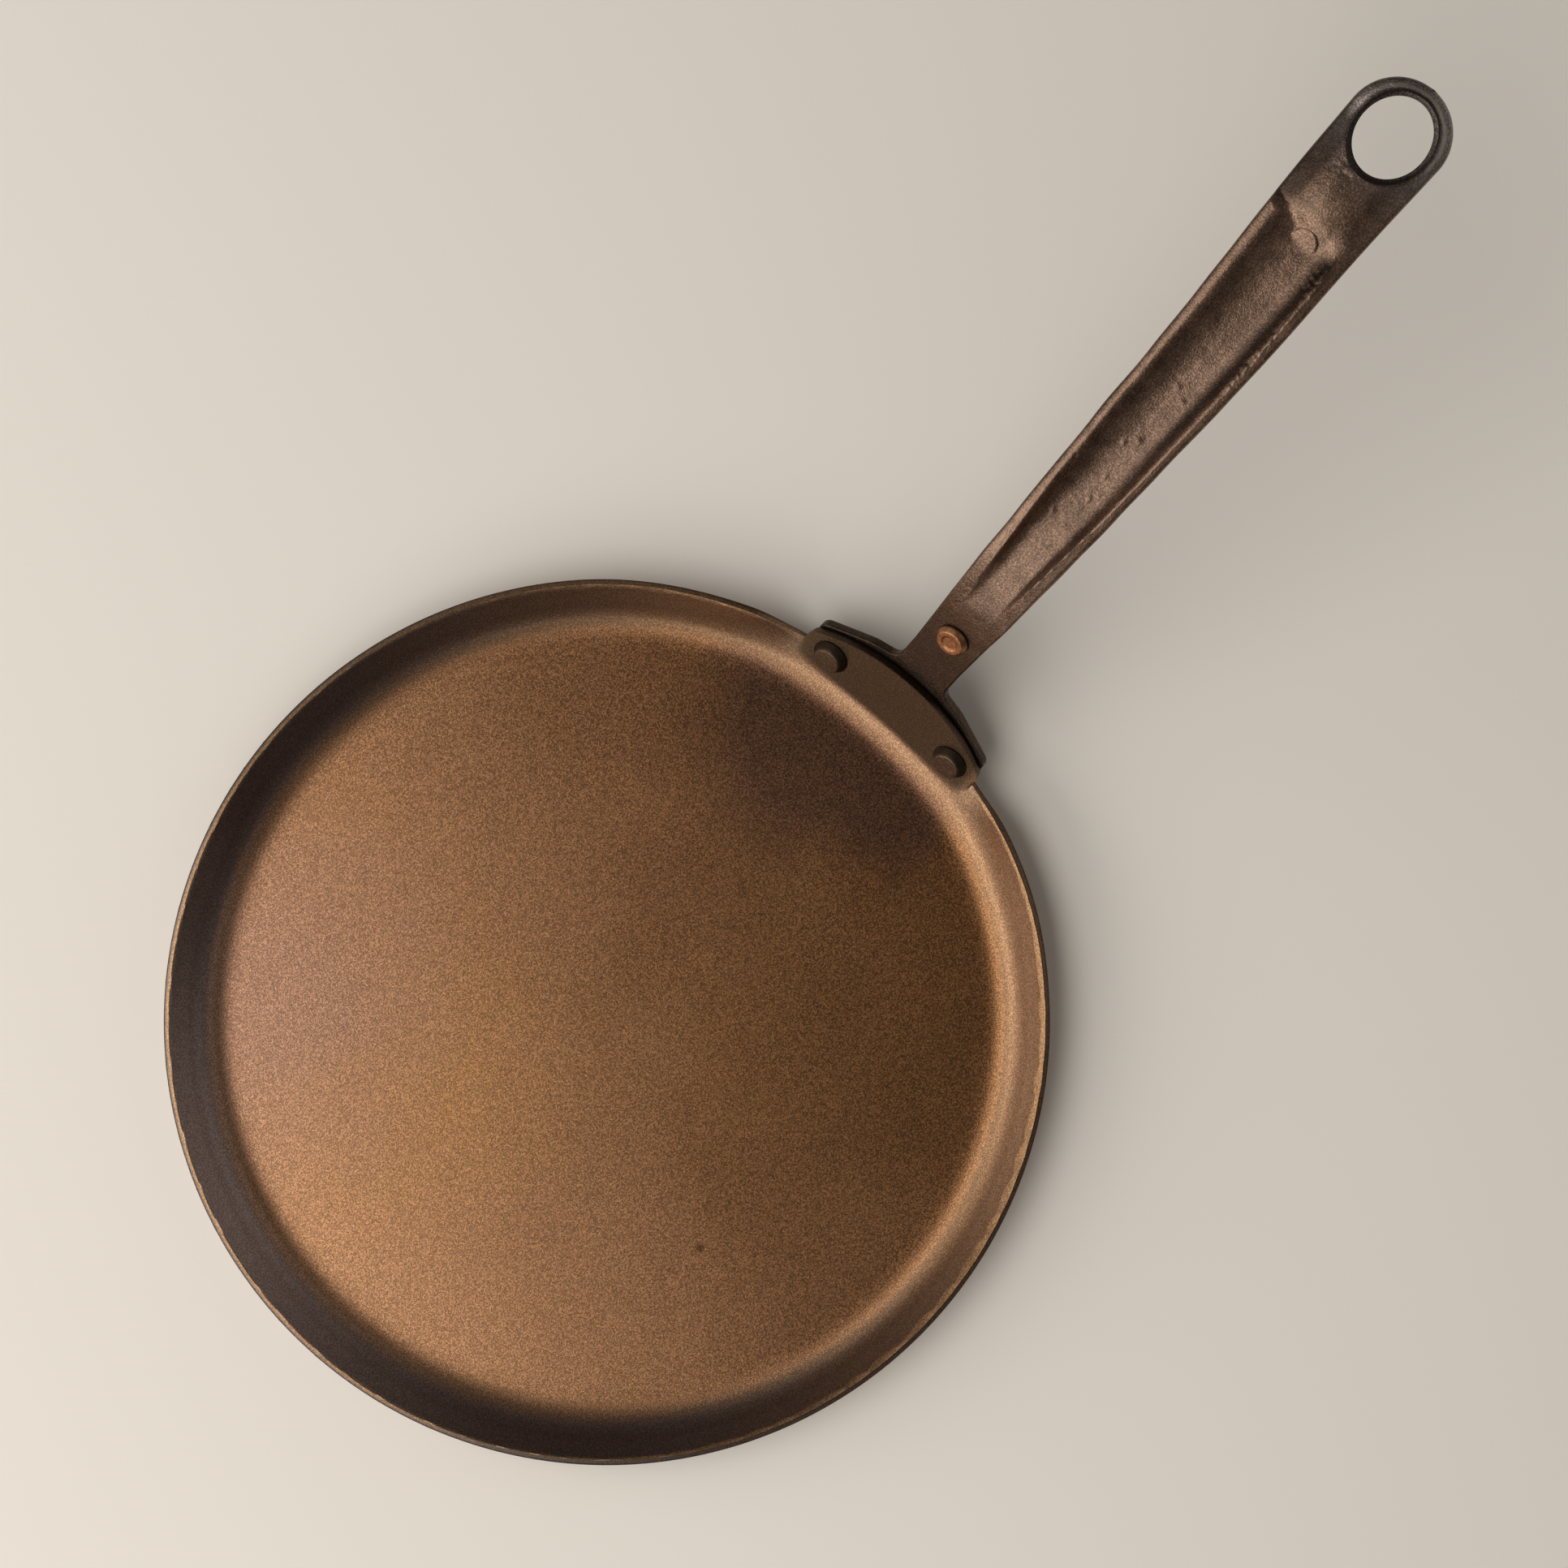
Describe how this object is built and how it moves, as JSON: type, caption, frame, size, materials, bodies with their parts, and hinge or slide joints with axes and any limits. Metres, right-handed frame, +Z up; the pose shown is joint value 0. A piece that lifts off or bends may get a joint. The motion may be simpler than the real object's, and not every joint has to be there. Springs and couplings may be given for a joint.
{
  "type": "swedish pancake pan",
  "caption": "Low round pressed-steel pancake pan with a riveted, upswept trough handle that ends in a hanging ring.",
  "frame": {"origin": "centre of the pan's flat underside", "axes": "+X from the pan's centre along the handle, +Z up, +Y to the left of the handle"},
  "size_m": [0.4338, 0.24, 0.1064],
  "materials": {
    "seasoned_steel": "baked-oil seasoned steel sheet, satin bronze with a fine pebble grain",
    "handle_steel": "rough forged steel, dark brown with worn bronze ribs",
    "rivet_steel": "dull grey-brown steel",
    "copper": "bright copper, slightly worn"
  },
  "bodies": {
    "root": {"pan_body": "seasoned_steel", "handle": "handle_steel", "wall_rivet_left": "rivet_steel", "wall_rivet_right": "rivet_steel", "copper_rivet": "copper"}
  },
  "joints": []
}
